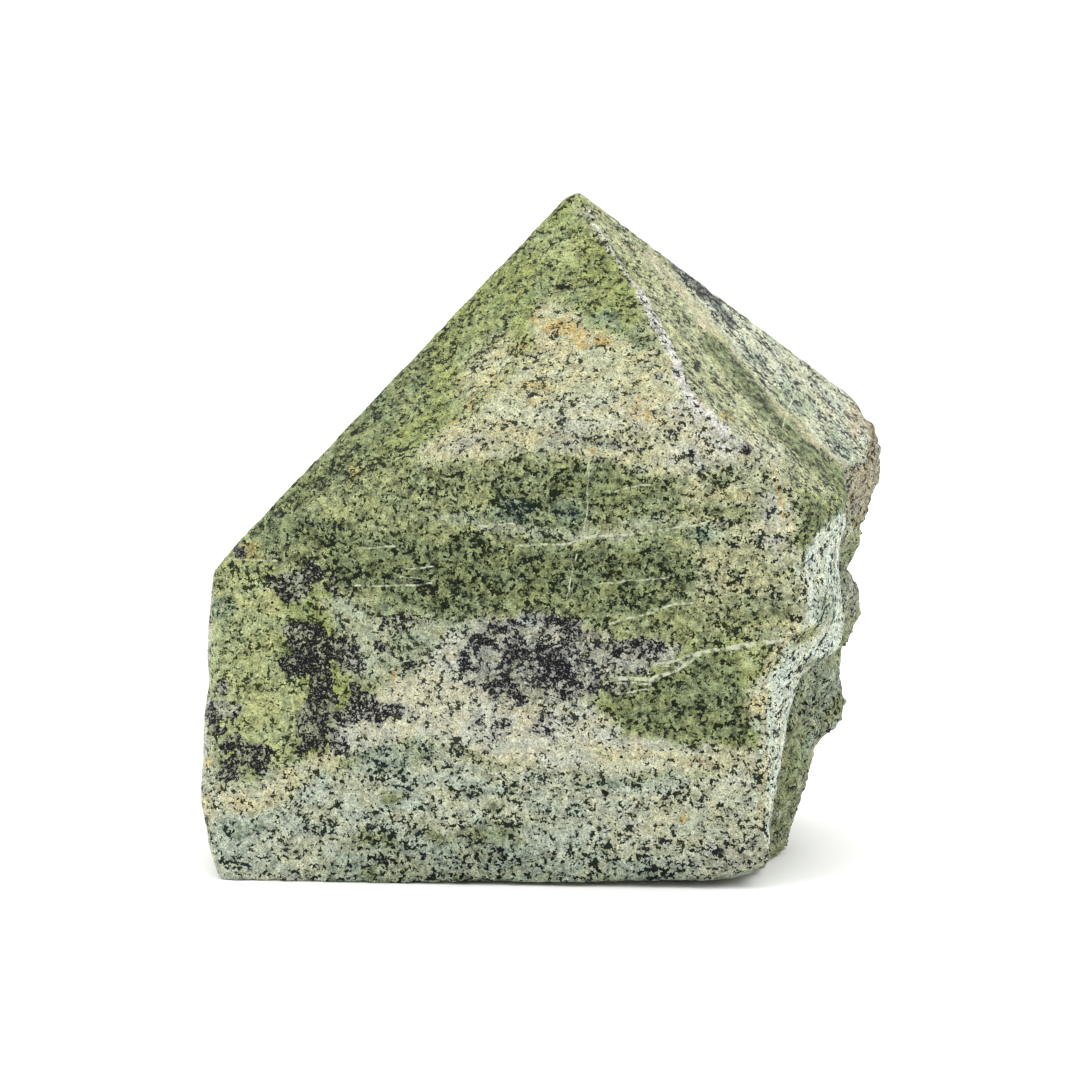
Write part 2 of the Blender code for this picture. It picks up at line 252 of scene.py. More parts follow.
# Smaller ovals of the front, painted over the regions: kind, middle across and up, half width, half height,
# tilt in degrees, strength.
SPOTS = (
    ("teal", -46.5, 38.3, 1.8, 1.7, 0, 0.9),
    ("teal", -20.2, 33.4, 1.9, 3, 10, 0.6),
    ("teal", -20.5, 18.2, 5.5, 2, 6, 0.6),
    ("teal", -17.6, 18.4, 1.3, 1, 0, 0.9),
    ("teal", -44.4, 6.9, 1.8, 0.9, 0, 0.8),
    ("teal", -41.2, 7.9, 1.3, 1.1, 0, 0.8),
    ("teal", -4.5, 53.3, 3, 1.9, 0, 0.8),
    ("teal", 3.4, 53.3, 2.2, 1.8, 0, 0.8),
    ("teal", 21.8, 50.4, 2.4, 1.2, 0, 0.8),
    ("teal", 9, 79.2, 1.8, 1.1, -20, 0.8),
    ("teal", 14, 77.3, 3.2, 1.5, -12, 0.55),
    ("moss", -36.5, 49.6, 3, 1.6, -10, 0.7),
    ("moss", -28, 47.6, 4.5, 2.2, 0, 0.6),
    ("yellow", -29.5, 52.6, 4, 1.4, 20, 0.7),
    ("yellow", -20.5, 67.5, 3.2, 2.2, 40, 0.7),
    ("yellow", 2, 89, 4, 2.4, 0, 0.6),
    ("olive", 3, 83, 5.5, 2, -10, 0.6),
    ("olive", -10, 75, 3, 6, -40, 0.4),
    ("olive", -27, 62, 3, 6, -42, 0.5),
    ("moss", 24, 58.4, 2.2, 1.6, 0, 0.6),
    ("moss", 18, 57.2, 2.2, 1.3, 0, 0.6),
    ("moss", 26, 53.4, 5.5, 1, -4, 0.7),
    ("grey", 2.6, 64, 3.2, 1.9, 0, 0.7),
    ("grey", -11.5, 62.6, 3.6, 1.1, 8, 0.6),
    ("grey", 9.6, 63, 2.2, 1, 0, 0.6),
    ("moss", 19.8, 61.6, 0.9, 1.6, 20, 0.7),
    ("yellow", 30, 37.6, 5, 1.6, 0, 0.6),
    ("yellow", 30.5, 32.6, 3, 2.2, 0, 0.8),
    ("beige", 29.8, 26.5, 1.6, 3.2, 0, 0.7),
    ("moss", -24, 6.2, 3.6, 1.1, 0, 0.7),
    ("moss", -15.8, 6.8, 1.8, 1, 0, 0.8),
    ("moss", -8, 7.4, 4, 1.6, 6, 0.7),
    ("moss", -22, 12.2, 1.5, 1, 0, 0.9),
    ("moss", -7.5, 11.1, 0.8, 0.8, 0, 0.9),
    ("moss", -25, 1.5, 1.9, 1.1, 0, 0.8),
    ("teal", 8.6, 15, 2.2, 1, 0, 0.6),
    ("grey", 26, 4.4, 5.5, 2.6, 20, 0.7),
    ("pale", 27.6, 15.6, 2.2, 1.7, 0, 0.8),
    ("pale", 3.6, 18.6, 1.8, 1, 0, 0.9),
    ("teal", 36.4, 67, 3.6, 1.2, -36, 0.6),
    ("rust", 46, 63, 1.8, 2.2, -40, 0.8),
    ("teal", 30, 73, 2.2, 0.9, -42, 0.6),
    ("teal", 42.6, 60.6, 3, 1.2, -46, 0.6),
    ("pale", 29.5, 62.4, 3.4, 1.3, -40, 0.7),
    ("yellow", 24.8, 67.2, 2.6, 1, -40, 0.5),
    ("moss", -29.5, 60.5, 17, 2.6, 45, 0.9),
    ("moss", -21.5, 67.5, 5, 2.8, 45, 0.7),
    ("pine", -34, 49.4, 8, 2.3, 6, 0.8),
    ("pine", -15, 44.6, 14, 2.5, 2, 0.95),
    ("moss", -23.5, 38.8, 2.6, 1.8, 0, 0.6),
    ("moss", 28.5, 39.6, 6, 1.8, 0, 0.7),
    ("cream", -8.5, 72.5, 5.5, 2.6, 48, 0.9),
    ("pale", 21.5, 62, 5.5, 3, 0, 1),
    ("cream", 22, 56.6, 2.6, 1.8, 0, 0.6),
    ("pale", 32.6, 52, 2.8, 5, 0, 0.8),
    ("pale", 33, 61.8, 2, 1.6, -45, 0.6),
    ("olive", -1, 56.4, 3, 1.5, 0, 0.6),
    ("pale", -12.8, 25.5, 3.2, 5.5, 0, 0.9),
    ("teal", 39.8, 39.2, 1.5, 2.6, 0, 0.6),
    ("moss", 16.5, 40, 3.5, 1.7, 0, 0.7),
    ("pale", 12, 66.8, 13, 2.6, 0, 0.5),
    ("chalk", -14, 11, 6, 2.4, 0, 0.5),
    ("pale", 12, 9.5, 6, 3.2, 0, 0.45),
    ("pale", -0.8, 16.6, 3.5, 1.8, 0, 0.6),
    ("yellow", -24, 50.2, 3, 1.4, 0, 0.6),
    # Small pits, painted as dark shade.
    ("shaded_pit", 21.5, 73, 0.55, 0.45, -20, 0.9),
    ("shaded_pit", -17.6, 42.5, 0.6, 0.55, 0, 0.9),
    ("shaded_pit", 24.8, 5.2, 0.7, 0.45, 0, 0.9),
    ("shaded_pit", 8.7, 13.4, 0.5, 0.45, 0, 0.9),
    ("shaded_pit", 2.2, 83.5, 1.1, 0.3, -10, 0.8),
)

# Ovals of the broken right side, given the same way.
RIGHT_SPOTS = (
    ("rust", 46.8, 57, 3.2, 8, -8, 0.8),
    ("grey", 44.8, 38.6, 1.8, 3.6, 0, 0.8),
    ("sage", 40, 24.6, 3.6, 5, 0, 0.8),
    ("lime", 42.4, 21.4, 0.9, 2.4, -24, 0.8),
    ("sage", 40.6, 18.4, 3.4, 1.2, 25, 0.9),
    ("sage", 39.4, 29.8, 3.2, 0.7, 12, 0.8),
    # The next two dark moss ovals are painted shade in the crevice between the pale strip and the broken
    # side.
    ("moss", 35.5, 23.6, 0.8, 5, -18, 0.7),
    ("moss", 35.2, 10, 1.8, 8, -8, 0.6),
)

# Stripes of the front: kind, half width, points across and up.
STRIPES = (
    ("line", 0.55, (
        (15, 87.5), (17.5, 84.6), (19.7, 82.3), (22.5, 79), (24.7, 76.3), (26.8, 73.6), (28.9, 71.3),
        (31.8, 68.1), (33.9, 66), (36.8, 63.2), (39.6, 60.8), (42.6, 58.5), (45.1, 56.5),
    )),
    ("moss", 1.20, ((23.6, 75.6), (26.7, 72.5), (29.6, 69.3), (32.3, 66))),
    ("moss", 1.30, ((34, 64), (35.6, 62.4), (38.2, 59.9), (41.9, 57), (43.4, 55.4))),
    ("charcoal", 0.60, (
        (18.6, 86.1), (20.1, 84.8), (22.7, 82.1), (24.5, 80.6), (25.9, 78.9), (27.4, 77.2),
    )),
    # Painted light: a pale rim down the left edge, where the front rounds away.
    ("pale", 0.9, ((-48.6, 44), (-49.2, 30), (-49.8, 15))),
    ("beige", 0.50, (
        (30.6, 63), (32.4, 58.8), (33.4, 55), (35.4, 50.2), (36.3, 45), (36.6, 40), (35.2, 36.5),
        (33, 34.5), (31.2, 31), (30.8, 25), (31, 20), (31, 15), (30.6, 9),
    )),
)

# The mossy corner of the pale strip, under the tip of the right facet.
STRIP_CORNER = (
    (35.2, 55.6), (44.5, 55), (44, 53.2), (39.5, 51.2), (37.4, 49), (36.6, 45.5), (35.4, 50),
)

# Patches of dark ore grains on the front: middle across and up, half width, half height, tilt, strength.
ORE_PATCHES = (
    (-36.8, 41.6, 3.2, 2, -4, 1),
    (-33.4, 43.6, 1.5, 1.8, 30, 0.9),
    (-31.2, 42.2, 2, 2, 0, 0.55),
    (-34.6, 35.4, 3.6, 1, 3, 1),
    (-33.2, 33.2, 3.4, 2.6, 0, 0.95),
    (-28.8, 32.4, 2.4, 1.8, -20, 0.95),
    (-35.8, 30.4, 2.6, 1.8, -10, 1),
    (-32.4, 30.4, 2.2, 2.2, 0, 0.8),
    (-26.4, 31.2, 0.9, 0.9, 0, 0.8),
    (-32, 26.8, 1.9, 3.4, 10, 0.85),
    (-32.9, 23.4, 2.4, 2.8, 0, 1),
    (-27.2, 27.4, 1.1, 1.2, 0, 0.9),
    (-26.4, 25.8, 2, 1.2, 10, 1),
    (-28.4, 23.6, 2.8, 1.4, 20, 0.95),
    (-24, 24.3, 1.7, 1.6, 0, 0.95),
    (-21.4, 24.6, 1.9, 0.9, 12, 0.95),
    (-23.6, 22.8, 0.9, 0.7, 0, 0.8),
    (-33.2, 20.6, 2, 1.7, 20, 1),
    (-35, 18.7, 1.1, 0.8, 0, 0.9),
    (-30, 20.8, 1.6, 1.6, 0, 0.7),
    (-29.6, 19, 1.2, 1.3, 0, 0.9),
    (-46.6, 27.2, 1, 1.5, -20, 0.9),
    (-45.9, 24.2, 2.3, 1.2, 5, 1),
    (-48.2, 22.8, 1.2, 1.5, 0, 0.9),
    (-46.4, 21.3, 1.2, 0.8, 0, 0.8),
    (-44.5, 19, 1.4, 1.7, 0, 1),
    (-42.6, 17.3, 3, 1.6, 10, 1),
    (-40.2, 17.9, 1.6, 0.7, 10, 0.9),
    (-45.6, 15.4, 1.8, 1.3, 10, 1),
    (-40.8, 15.4, 1.3, 0.8, 0, 0.8),
    (-46.1, 14.3, 0.9, 0.7, 0, 0.9),
    (-20, 37.2, 2.6, 1.4, 10, 0.5),
    (-23.2, 36.4, 0.7, 1.6, 0, 0.6),
    (-23.6, 33.8, 1.5, 1, 0, 0.75),
    (-19.6, 31, 1, 1.6, 0, 0.5),
    (-5.8, 37.2, 2.6, 1.2, 0, 0.75),
    (2.2, 37.4, 3.6, 1.5, 6, 0.85),
    (-9.2, 34.8, 1.9, 0.8, -10, 0.85),
    (-11.4, 32.2, 1.4, 0.8, 0, 0.85),
    (-11, 30.8, 1.2, 0.7, 0, 0.85),
    (-0.8, 32.4, 2.4, 2, 0, 1.1),
    (2.6, 33.8, 2.6, 1.3, 0, 0.9),
    (1.6, 29.8, 3.4, 2.6, -20, 1),
    (-5, 33.8, 2.4, 2.4, 0, 0.65),
    (5, 28.2, 2.2, 1, 0, 0.9),
    (-6.4, 28.2, 3.2, 0.9, -6, 0.95),
    (-10.4, 28.8, 1.4, 0.6, 0, 0.85),
    (-3.8, 26.4, 1.6, 0.9, -20, 0.95),
    (10.6, 32.8, 2, 1.1, -20, 0.7),
    (13.4, 31.2, 1.6, 0.8, 0, 0.55),
    (-6.2, 22.4, 1.4, 1.5, 0, 0.9),
    (-9.4, 23.2, 1.2, 0.9, 0, 0.75),
    (-7.6, 20.9, 0.9, 0.7, 0, 0.8),
    (-0.4, 23, 1.8, 1.5, 10, 1.1),
    (10, 28.6, 2.4, 1.3, 0, 0.8),
    (13.4, 34.4, 3.4, 1.4, 0, 0.75),
    (0.6, 21.4, 0.8, 0.9, 0, 0.8),
    (28.2, 62.6, 1.1, 0.8, -10, 1.1),
    (26.4, 64.2, 0.9, 0.8, 0, 0.7),
    (-44.2, 46.2, 0.9, 1.1, 0, 1.1),
    (16.3, 72.4, 1, 0.6, -20, 0.9),
    (20.8, 61.8, 0.7, 1, 0, 0.7),
)

# Ochre stains in the pale stone, given the same way.
STAINS = (
    (-1.4, 79.2, 0.9, 0.9, 0, 0.9),
    (2.6, 78, 3.8, 1.6, -10, 0.95),
    (8.3, 76.6, 1.2, 0.9, 0, 1.1),
    (5.2, 75.8, 0.9, 0.6, 0, 0.9),
    (-3.4, 76, 0.9, 0.7, 0, 0.7),
    (-1.3, 70.6, 2.9, 0.9, 0, 0.9),
    (-7.4, 71.2, 0.6, 0.7, 0, 0.8),
    (-10.8, 67.6, 0.8, 1.2, -30, 0.9),
    (-13.2, 65, 0.8, 0.8, 0, 0.9),
    (-2.4, 68, 1.6, 0.9, 0, 0.6),
    (13.6, 67.4, 2.4, 1.9, 0, 0.8),
    (18.6, 67.6, 0.7, 1.1, 0, 0.8),
    (18.8, 71.6, 0.9, 0.6, 0, 0.9),
    (6.6, 62, 0.8, 0.7, 0, 0.8),
    (25.6, 66.8, 1.2, 0.7, -30, 1),
    (22, 68.4, 1.8, 0.6, -40, 0.8),
    (20.4, 55.8, 0.8, 0.9, 0, 0.7),
    (24.8, 56.8, 0.8, 0.7, 0, 0.7),
    (32.8, 56.4, 0.6, 2.6, 12, 1.1),
    (33, 53.4, 0.7, 0.7, 0, 1.1),
    (-42.7, 47, 1.1, 1, -30, 0.9),
    (-42.4, 45.6, 1.6, 0.6, 0, 0.8),
    (-48.6, 16.6, 0.6, 1.1, 0, 1),
    (30, 26.4, 1.1, 1.6, 0, 0.7),
    (9.6, 19, 0.9, 0.8, 0, 0.9),
    (22.8, 18.4, 3, 1.1, 0, 0.6),
    (19.3, 9.8, 1.4, 0.6, 20, 0.9),
    (-23.4, 31.4, 0.6, 0.6, 0, 0.9),
    (-21.4, 29.6, 0.8, 0.8, 0, 0.9),
    (-28.6, 26.2, 0.6, 0.5, 0, 0.8),
    (4.6, 22.6, 0.5, 0.5, 0, 0.8),
    (6.2, 10.8, 0.6, 0.4, 0, 0.8),
    (-27.2, 57.8, 0.9, 0.9, 0, 0.7),
)

# Thin pale veins, each as its half width and its points across and up.
VEINS = (
    (0.14, ((-4.4, 48.5), (2.2, 48.6), (7.9, 50), (13.6, 50.3), (23.1, 51.9))),
    (0.09, ((7.9, 55.9), (14.7, 57.3))),
    (0.08, ((5.9, 60.4), (5.9, 52.4), (4, 46.3), (2.9, 40.7))),
    (0.08, ((6.8, 42.9), (17.4, 44.1))),
    (0.15, ((9, 37.4), (13.9, 38.8), (17.6, 40.2), (20.9, 40.5))),
    (0.28, ((9, 29.9), (14.9, 29.6), (20.1, 31.9), (22.1, 33.7), (27, 34.4), (33.5, 35.4))),
    (0.14, ((15, 31.4), (21, 33.4))),
    (0.09, ((-20.8, 44.4), (-15.8, 45.2))),
    (0.12, ((-27.3, 42.1), (-21.5, 42.2), (-16.2, 42.8))),
    (0.08, ((-26.7, 47.2), (-20.9, 47.9))),
    (0.10, ((-9.4, 51.2), (-3.7, 51.5))),
    (0.11, ((-46.5, 45.2), (-38.6, 45))),
    (0.10, ((10, 27.6), (14.7, 28.3))),
    (0.12, ((34, 64.2), (36.6, 68))),
)

# White bruised stone from the point down the ridge between the front and right facets: half width, strength
# and points.
WORN_RIDGE = (
    (0.22, 1, ((6, 94.4), (8.6, 89.9), (13.6, 82.9))),
    (0.55, 1, ((13.6, 82.9), (16.2, 78.2), (19.1, 73))),
    (0.70, 0.9, ((18.6, 72.6), (21.6, 67.9), (25.5, 64.6))),
    (1.90, 0.5, ((19.5, 66.6), (26, 63))),
)

# The front is what faces the viewer and lies close behind the surface that the viewer sees. The rays that
# find that surface start this far out, in metres.
FRONT_DEPTHS = (5.0, 12.0)
FRONT_FACING = (0.05, 0.30)
RAY_START = -1.0

# The pale strip faces right, stands upright and ends below the slanted right facet.
STRIP_FACING = (0.15, 0.35)
STRIP_LEANING = (0.3, 0.45)
STRIP_TOP = (55.0, 57.0)

# Noise that bends the borders of the marks: its sizes, and a shift for each of its patterns.
WIDE_BENDS = 9.0
FINE_BENDS = 2.4
WIDE_SHIFTS = (1.0, 2.0, 3.0)
FINE_SHIFTS = (4.0, 5.0, 6.0)

# How far the wide and the fine noise, or the fine noise alone, move each kind of mark.
ZONE_BEND_ACROSS = (2.4, 1.0)
ZONE_BEND_UP = (1.8, 0.9)
BED_BEND = (1.4, 0.5)
SPOT_BEND_ACROSS = 0.8
SPOT_BEND_UP = 0.7
VEIN_BEND = 0.3

# Softness of the borders: in millimetres for beds and the corner, and in half widths for the others.
BED_SOFTNESS = 1.2
CORNER_SOFTNESS = 0.5
SPOT_SOFTNESS = 0.5
ORE_SOFTNESS = 0.6
STAIN_SOFTNESS = 0.7
STRIPE_EDGE = (0.5, 1.5)
BRUISE_EDGE = (0.6, 1.6)

# How much of the broken sides is raw stone, how near a vein its points know it, how much of the front a vein
# needs, and a gap wider than the rock.
RAW_COVER = 0.65
VEIN_REACH = 1.6
FRONT_LEAST = 0.5
FAR = 1e3

# Noise of the stone: size, detail, roughness, and a shift that gives each its own pattern.
PATTERNS = {
    "tint": (5.0, 3.0, 0.6, (3.0, 3.0, 7.0)),
    "hue": (1.4, 2.0, 0.6, (8.0, 4.0, 2.0)),
    "stain": (0.8, 2.0, 0.6, (4.0, 9.0, 6.0)),
    "bruise": (0.6, 2.0, 0.6, (1.0, 7.0, 5.0)),
    "ore": (1.3, 2.0, 0.6, (2.0, 5.0, 8.0)),
    "clump": (1.9, 2.0, 0.6, (1.0, 6.0, 3.0)),
    "streak": (6.0, 2.0, 0.6, (7.0, 2.0, 1.0)),
    "fine": (0.26, 1.0, 0.9, (1.0, 1.0, 1.0)),
    "tone": (1.1, 3.0, 0.75, (5.0, 2.0, 3.0)),
    "fleck": (0.68, 2.0, 0.7, (3.0, 7.0, 5.0)),
    "wander": (0.7, 2.0, 0.55, (6.0, 3.0, 8.0)),
    "fade": (0.9, 2.0, 0.6, (6.0, 3.0, 8.0)),
}
# Some are centred on 0 and reach at most about half this far each way.
REACHES = {"stain": 2.2, "bruise": 1.6, "ore": 1.6, "clump": 5.4, "streak": 3.6}
# Others are counted in their own standard deviations.
DEVIATIONS = {"fine": 0.090, "tone": 0.085, "fleck": 0.077}

# Broad tints of the pale grains and small ones of the dark grains, and the noise over which they change.
TINT_SPAN = (0.38, 0.62)
WARM_TINT = (1.04, 1.01, 0.88)
COOL_TINT = (0.95, 1.00, 1.01)
BROWN_TINT = (1.40, 1.20, 0.70)
BLUE_TINT = (0.70, 0.90, 1.60)

# Where the marks take hold, and how strongly.
STAIN_SPAN = (0.40, 1.10)
STAIN_COVER = 0.9
BRUISE_SPAN = (0.35, 0.75)
BRUISE_COVER = 0.95
BRUISE_CLEARING = 0.3
ORE_SPAN = (0.38, 0.56)
ORE_REST_COVER = 0.55
ORE_DARKENING = 1.40
CLUMP_DULLING = 0.45

# Grains and flecks, in standard deviations of their noise, and painted light and shade of a fine relief.
GRAIN_REACH = 1.8
# The painted relief shade mostly lies below 1, so it also darkens the stone as a whole.
RELIEF_SHADING_AND_TONE = (0.50, 1.16)
FLECK_RAGGEDNESS = 0.28
FLECK_EDGE = 0.24
# Painted glints on the ore grains: where they start in the fine noise, and how far they pale it.
GLINT_SPAN = (0.5, 2.2)
GLINT_COVER = 0.4

# Veins: how far they wander, the softness of their sides, and how they fade along their length.
VEIN_WANDER = 0.28
VEIN_SIDES = (0.09, -0.05)
VEIN_LEAST = 0.05
FADE_SPAN = (0.38, 0.6)
FADE_COVER = (0.1, 0.85)

# Finish of the stone.
DARK_ROUGHNESS = 0.42
PALE_ROUGHNESS = 0.56
RAW_ROUGHNESS = 0.22
STONE_SPECULAR = 0.12
BUMP_STRENGTH = 0.7
BUMP_HEIGHT = 0.00005
BUMP_TONE = 0.7

# The studio: soft lights, each by its place and its width and depth, in metres.
LIGHTS = {
    "overhead": ((0.0, 0.15, 0.9), (0.9, 0.9)),
    "key": ((-0.8, -0.5, 0.7), (0.6, 0.6)),
}
LIGHT_AIM = (0.0, 0.0, 0.05)
FLOOR_HALF = 6.0
FLOOR_ROUGHNESS = 0.9
FLOOR_SPECULAR = 0.1
OPENING_SPAN = (0.45, 0.95)
SENSOR_WIDTH = 36.0

# Inputs and output of a Mix node that are colours.
MIX_FIRST = 6
MIX_SECOND = 7
MIX_RESULT = 2


def length_setting(name, description, default, least=0.0):
    return FloatProperty(name=name, description=description, default=default, min=least, unit="LENGTH")


def power_setting(name, description, default):
    return FloatProperty(name=name, description=description, default=default, min=0.0, unit="POWER")


class StoneShape(bpy.types.PropertyGroup):
    cell: length_setting("Cell", "Spacing of the points of the fine surface", 0.00063, 0.0004)
    rounding: IntProperty(
        name="Rounding", description="How many times the worn edges are smoothed", default=3, min=0, max=40
    )
    chip: length_setting("Edge chips", "Depth of the chips along the sawn edges", 0.0005)
    grain: length_setting("Sawn grain", "Height of the grain left in the sawn faces", 0.00004)
    rubble: length_setting("Raw breaks", "Height of the small breaks in the raw sides", 0.0011)
    step: length_setting("Step", "Depth of the step behind the pale strip", 0.0010)


class StoneColours(bpy.types.PropertyGroup):
    ore: colour_setting("Ore", "Purplish black ore grains", 14, 14, 20)
    ore_rest: colour_setting("Stone in the ore", "Greyish stone between ore grains", 174, 173, 170)
    vein: colour_setting("Vein", "Thin pale veins", 214, 218, 190)
    ochre: colour_setting("Ochre", "Rusty stains in the pale stone", 226, 196, 118)
    wear: colour_setting("Wear", "Bruised white stone along a worn ridge", 252, 250, 242)
    floor: colour_setting("Floor", "Pale studio floor", 253, 253, 253)


class Studio(bpy.types.PropertyGroup):
    camera_place: FloatVectorProperty(
        name="Camera place",
        description="Where the camera stands",
        default=(-0.00083, -0.74738, 0.14998),
        subtype="TRANSLATION",
        unit="LENGTH",
    )
    camera_dip: FloatProperty(
        name="Camera dip",
        description="How far the camera looks down",
        default=math.radians(8.0),
        subtype="ANGLE",
    )
    lens: FloatProperty(name="Lens", description="Focal length in millimetres", default=170.0, min=10.0)
    surround: FloatProperty(
        name="Surround", description="Strength of the white surround", default=1.47, min=0.0
    )
    opening: FloatProperty(
        name="Opening",
        description="How bright the camera's side is, as a share of the rest",
        default=0.35,
        min=0.0,
    )
    overhead: power_setting("Overhead", "Power of the overhead soft light", 3.0)
    key: power_setting("Key", "Power of the left soft light", 0.7)


def waves(places, size, shift, octaves=2):
    """Smooth noise of about -1 to 1 over a size in millimetres, at an array of places in millimetres."""
    offset = shift * SHIFT_WAY
    places = [Vector(place) / size + offset for place in places]
    return np.array([noise.fractal(place, OCTAVE_FALL, OCTAVE_RATIO, octaves) for place in places])


def merged_copy(source):
    """A bmesh of a CAD node's mesh with its loose triangles joined."""
    bm = bmesh.new()
    bm.from_mesh(source.data)
    bmesh.ops.remove_doubles(bm, verts=bm.verts, dist=MERGE_DISTANCE)
    return bm


def even_mesh(bm, cell):
    """The same form with an even fine grid of faces over it."""
    coarse = bpy.data.meshes.new("rock_coarse")
    bm.to_mesh(coarse)
    holder = bpy.data.objects.new("rock_coarse", coarse)
    bpy.context.scene.collection.objects.link(holder)
    remesh = holder.modifiers.new("Even grid", "REMESH")
    remesh.mode = "VOXEL"
    remesh.voxel_size = cell
    bpy.context.view_layer.update()
    ready = holder.evaluated_get(bpy.context.evaluated_depsgraph_get())
    fine = bpy.data.meshes.new_from_object(ready)
    bpy.data.objects.remove(holder)
    bpy.data.meshes.remove(coarse)
    return fine


def smoothed(mesh, places, times):
    """The places of a mesh's points after smoothing them a number of times."""
    count = len(mesh.vertices)
    pairs = np.empty(len(mesh.edges) * 2, dtype=np.int32)
    mesh.edges.foreach_get("vertices", pairs)
    first = pairs[0::2]
    second = pairs[1::2]
    valence = np.bincount(first, minlength=count) + np.bincount(second, minlength=count)
    for _ in range(times):
        total = np.zeros_like(places)
        for axis in range(3):
            total[:, axis] = np.bincount(first, places[second, axis], count)
            total[:, axis] += np.bincount(second, places[first, axis], count)
        places = places + SMOOTHING_PULL * (total / valence[:, None] - places)
    return places


def read_points(mesh):
    """The places of a mesh's points, and its normals there."""
    places = np.empty((len(mesh.vertices), 3))
    normals = np.empty_like(places)
    mesh.vertices.foreach_get("co", places.ravel())
    mesh.vertex_normals.foreach_get("vector", normals.ravel())
    return places, normals


def ease(values, start, end):
    """A smooth step from 0 at start to 1 at end."""
    share = np.clip((values - start) / (end - start), 0.0, 1.0)
    return share * share * (3.0 - 2.0 * share)


def behind_strip(places):
    """How far each point lies behind the line where the pale strip of the right side ends."""
    return places[:, 1] - (STRIP_FOOT + STRIP_LEAN * places[:, 2])


def raw_share(places, normals):
    """How raw the stone is at each point, from 0 on the sawn faces to 1 on the broken sides and back."""
    across, depth, height = places.T
    right = ease(behind_strip(places), -STRIP_SOFTNESS, STRIP_SOFTNESS)
    left = ease(depth, LEFT_RAW[0] + LEFT_LEAN * height, LEFT_RAW[1] + LEFT_LEAN * height)
    side = np.where(across > 0.0, right, left)
    upright = 1.0 - ease(np.abs(normals[:, 2]), *FLAT_TOP)
    return side * upright


def weather(mesh, shape):
    """Round and chip the edges, grain the sawn faces and break up the raw ones, by moving the points.

    It returns how raw the stone is at each point.
    """
    start, normals = read_points(mesh)
    rounded = smoothed(mesh, start, shape.rounding)
    hollowed = smoothed(mesh, start, WIDE_SMOOTHING)
    edge = np.einsum("ij,ij->i", start - hollowed, normals) / MM
    worn = ease(edge, *WORN_HEIGHTS)
    raw = raw_share(start / MM, normals)
    place = rounded / MM
    chips = np.maximum(0.0, waves(place, *SMALL_CHIPS) - SMALL_CHIP_LEVEL)
    chips = chips + WIDE_CHIP_SHARE * np.maximum(0.0, waves(place, *WIDE_CHIPS) - WIDE_CHIP_LEVEL)
    creases = CREASE_HEIGHT - CREASE_SLOPE * np.abs(waves(place, *CREASES))
    breaks = waves(place, *LUMPS) + CREASE_SHARE * creases
    moves = shape.grain * waves(place, *SAW_GRAIN) * (1.0 - raw)
    moves -= CHIP_SCALE * shape.chip * worn * chips
    moves += shape.rubble * raw * breaks
    behind = behind_strip(start / MM)
    step = np.exp(-((behind - STEP_MIDDLE) ** 2)) * raw * (place[:, 0] > STEP_FROM)
    moves -= shape.step * step
    places = rounded + normals * moves[:, None]
    places[:, 2] = np.maximum(places[:, 2], 0.0)
    mesh.vertices.foreach_set("co", places.ravel())
    mesh.update()
    return raw


def oval(across, up, middle_across, middle_up, half_width, half_height, tilt, rim):
    """Share of an oval of the front at each place: 1 inside it, 0 outside, with a soft rim."""
    turn = math.radians(tilt)
    right = across - middle_across
    above = up - middle_up
    along = (right * math.cos(turn) + above * math.sin(turn)) / half_width
    beside = (above * math.cos(turn) - right * math.sin(turn)) / half_height
    return 1.0 - ease(np.hypot(along, beside), 1.0 - rim, 1.0 + rim)


def line_gap(across, up, points):
    """From each place, the way to the nearest point of a line of the front, and its length."""
    way = np.full((len(across), 2), FAR)
    gap = np.full(len(across), FAR)
    places = np.stack([across, up], axis=1)
    for first, last in zip(points, points[1:]):
        first = np.array(first, dtype=float)
        run = np.array(last) - first
        share = np.clip((places - first) @ run / (run @ run), 0.0, 1.0)
        offset = first + share[:, None] * run - places
        length = np.hypot(offset[:, 0], offset[:, 1])
        nearer = length < gap
        way[nearer] = offset[nearer]
        gap[nearer] = length[nearer]
    return way, gap


def region(across, up, corners, rim):
    """Share of a region of the front at each place: 1 inside its corners, 0 outside, with a soft border."""
    inside = np.zeros(len(across), dtype=bool)
    for (right, above), (next_right, next_above) in zip(corners, corners[1:] + corners[:1]):
        spans = (above > up) != (next_above > up)
        slope = (next_right - right) / (next_above - above) if next_above != above else 0.0
        inside ^= spans & (across < right + slope * (up - above))
    gap = line_gap(across, up, corners + corners[:1])[1]
    return ease(np.where(inside, gap, -gap), -rim, rim)


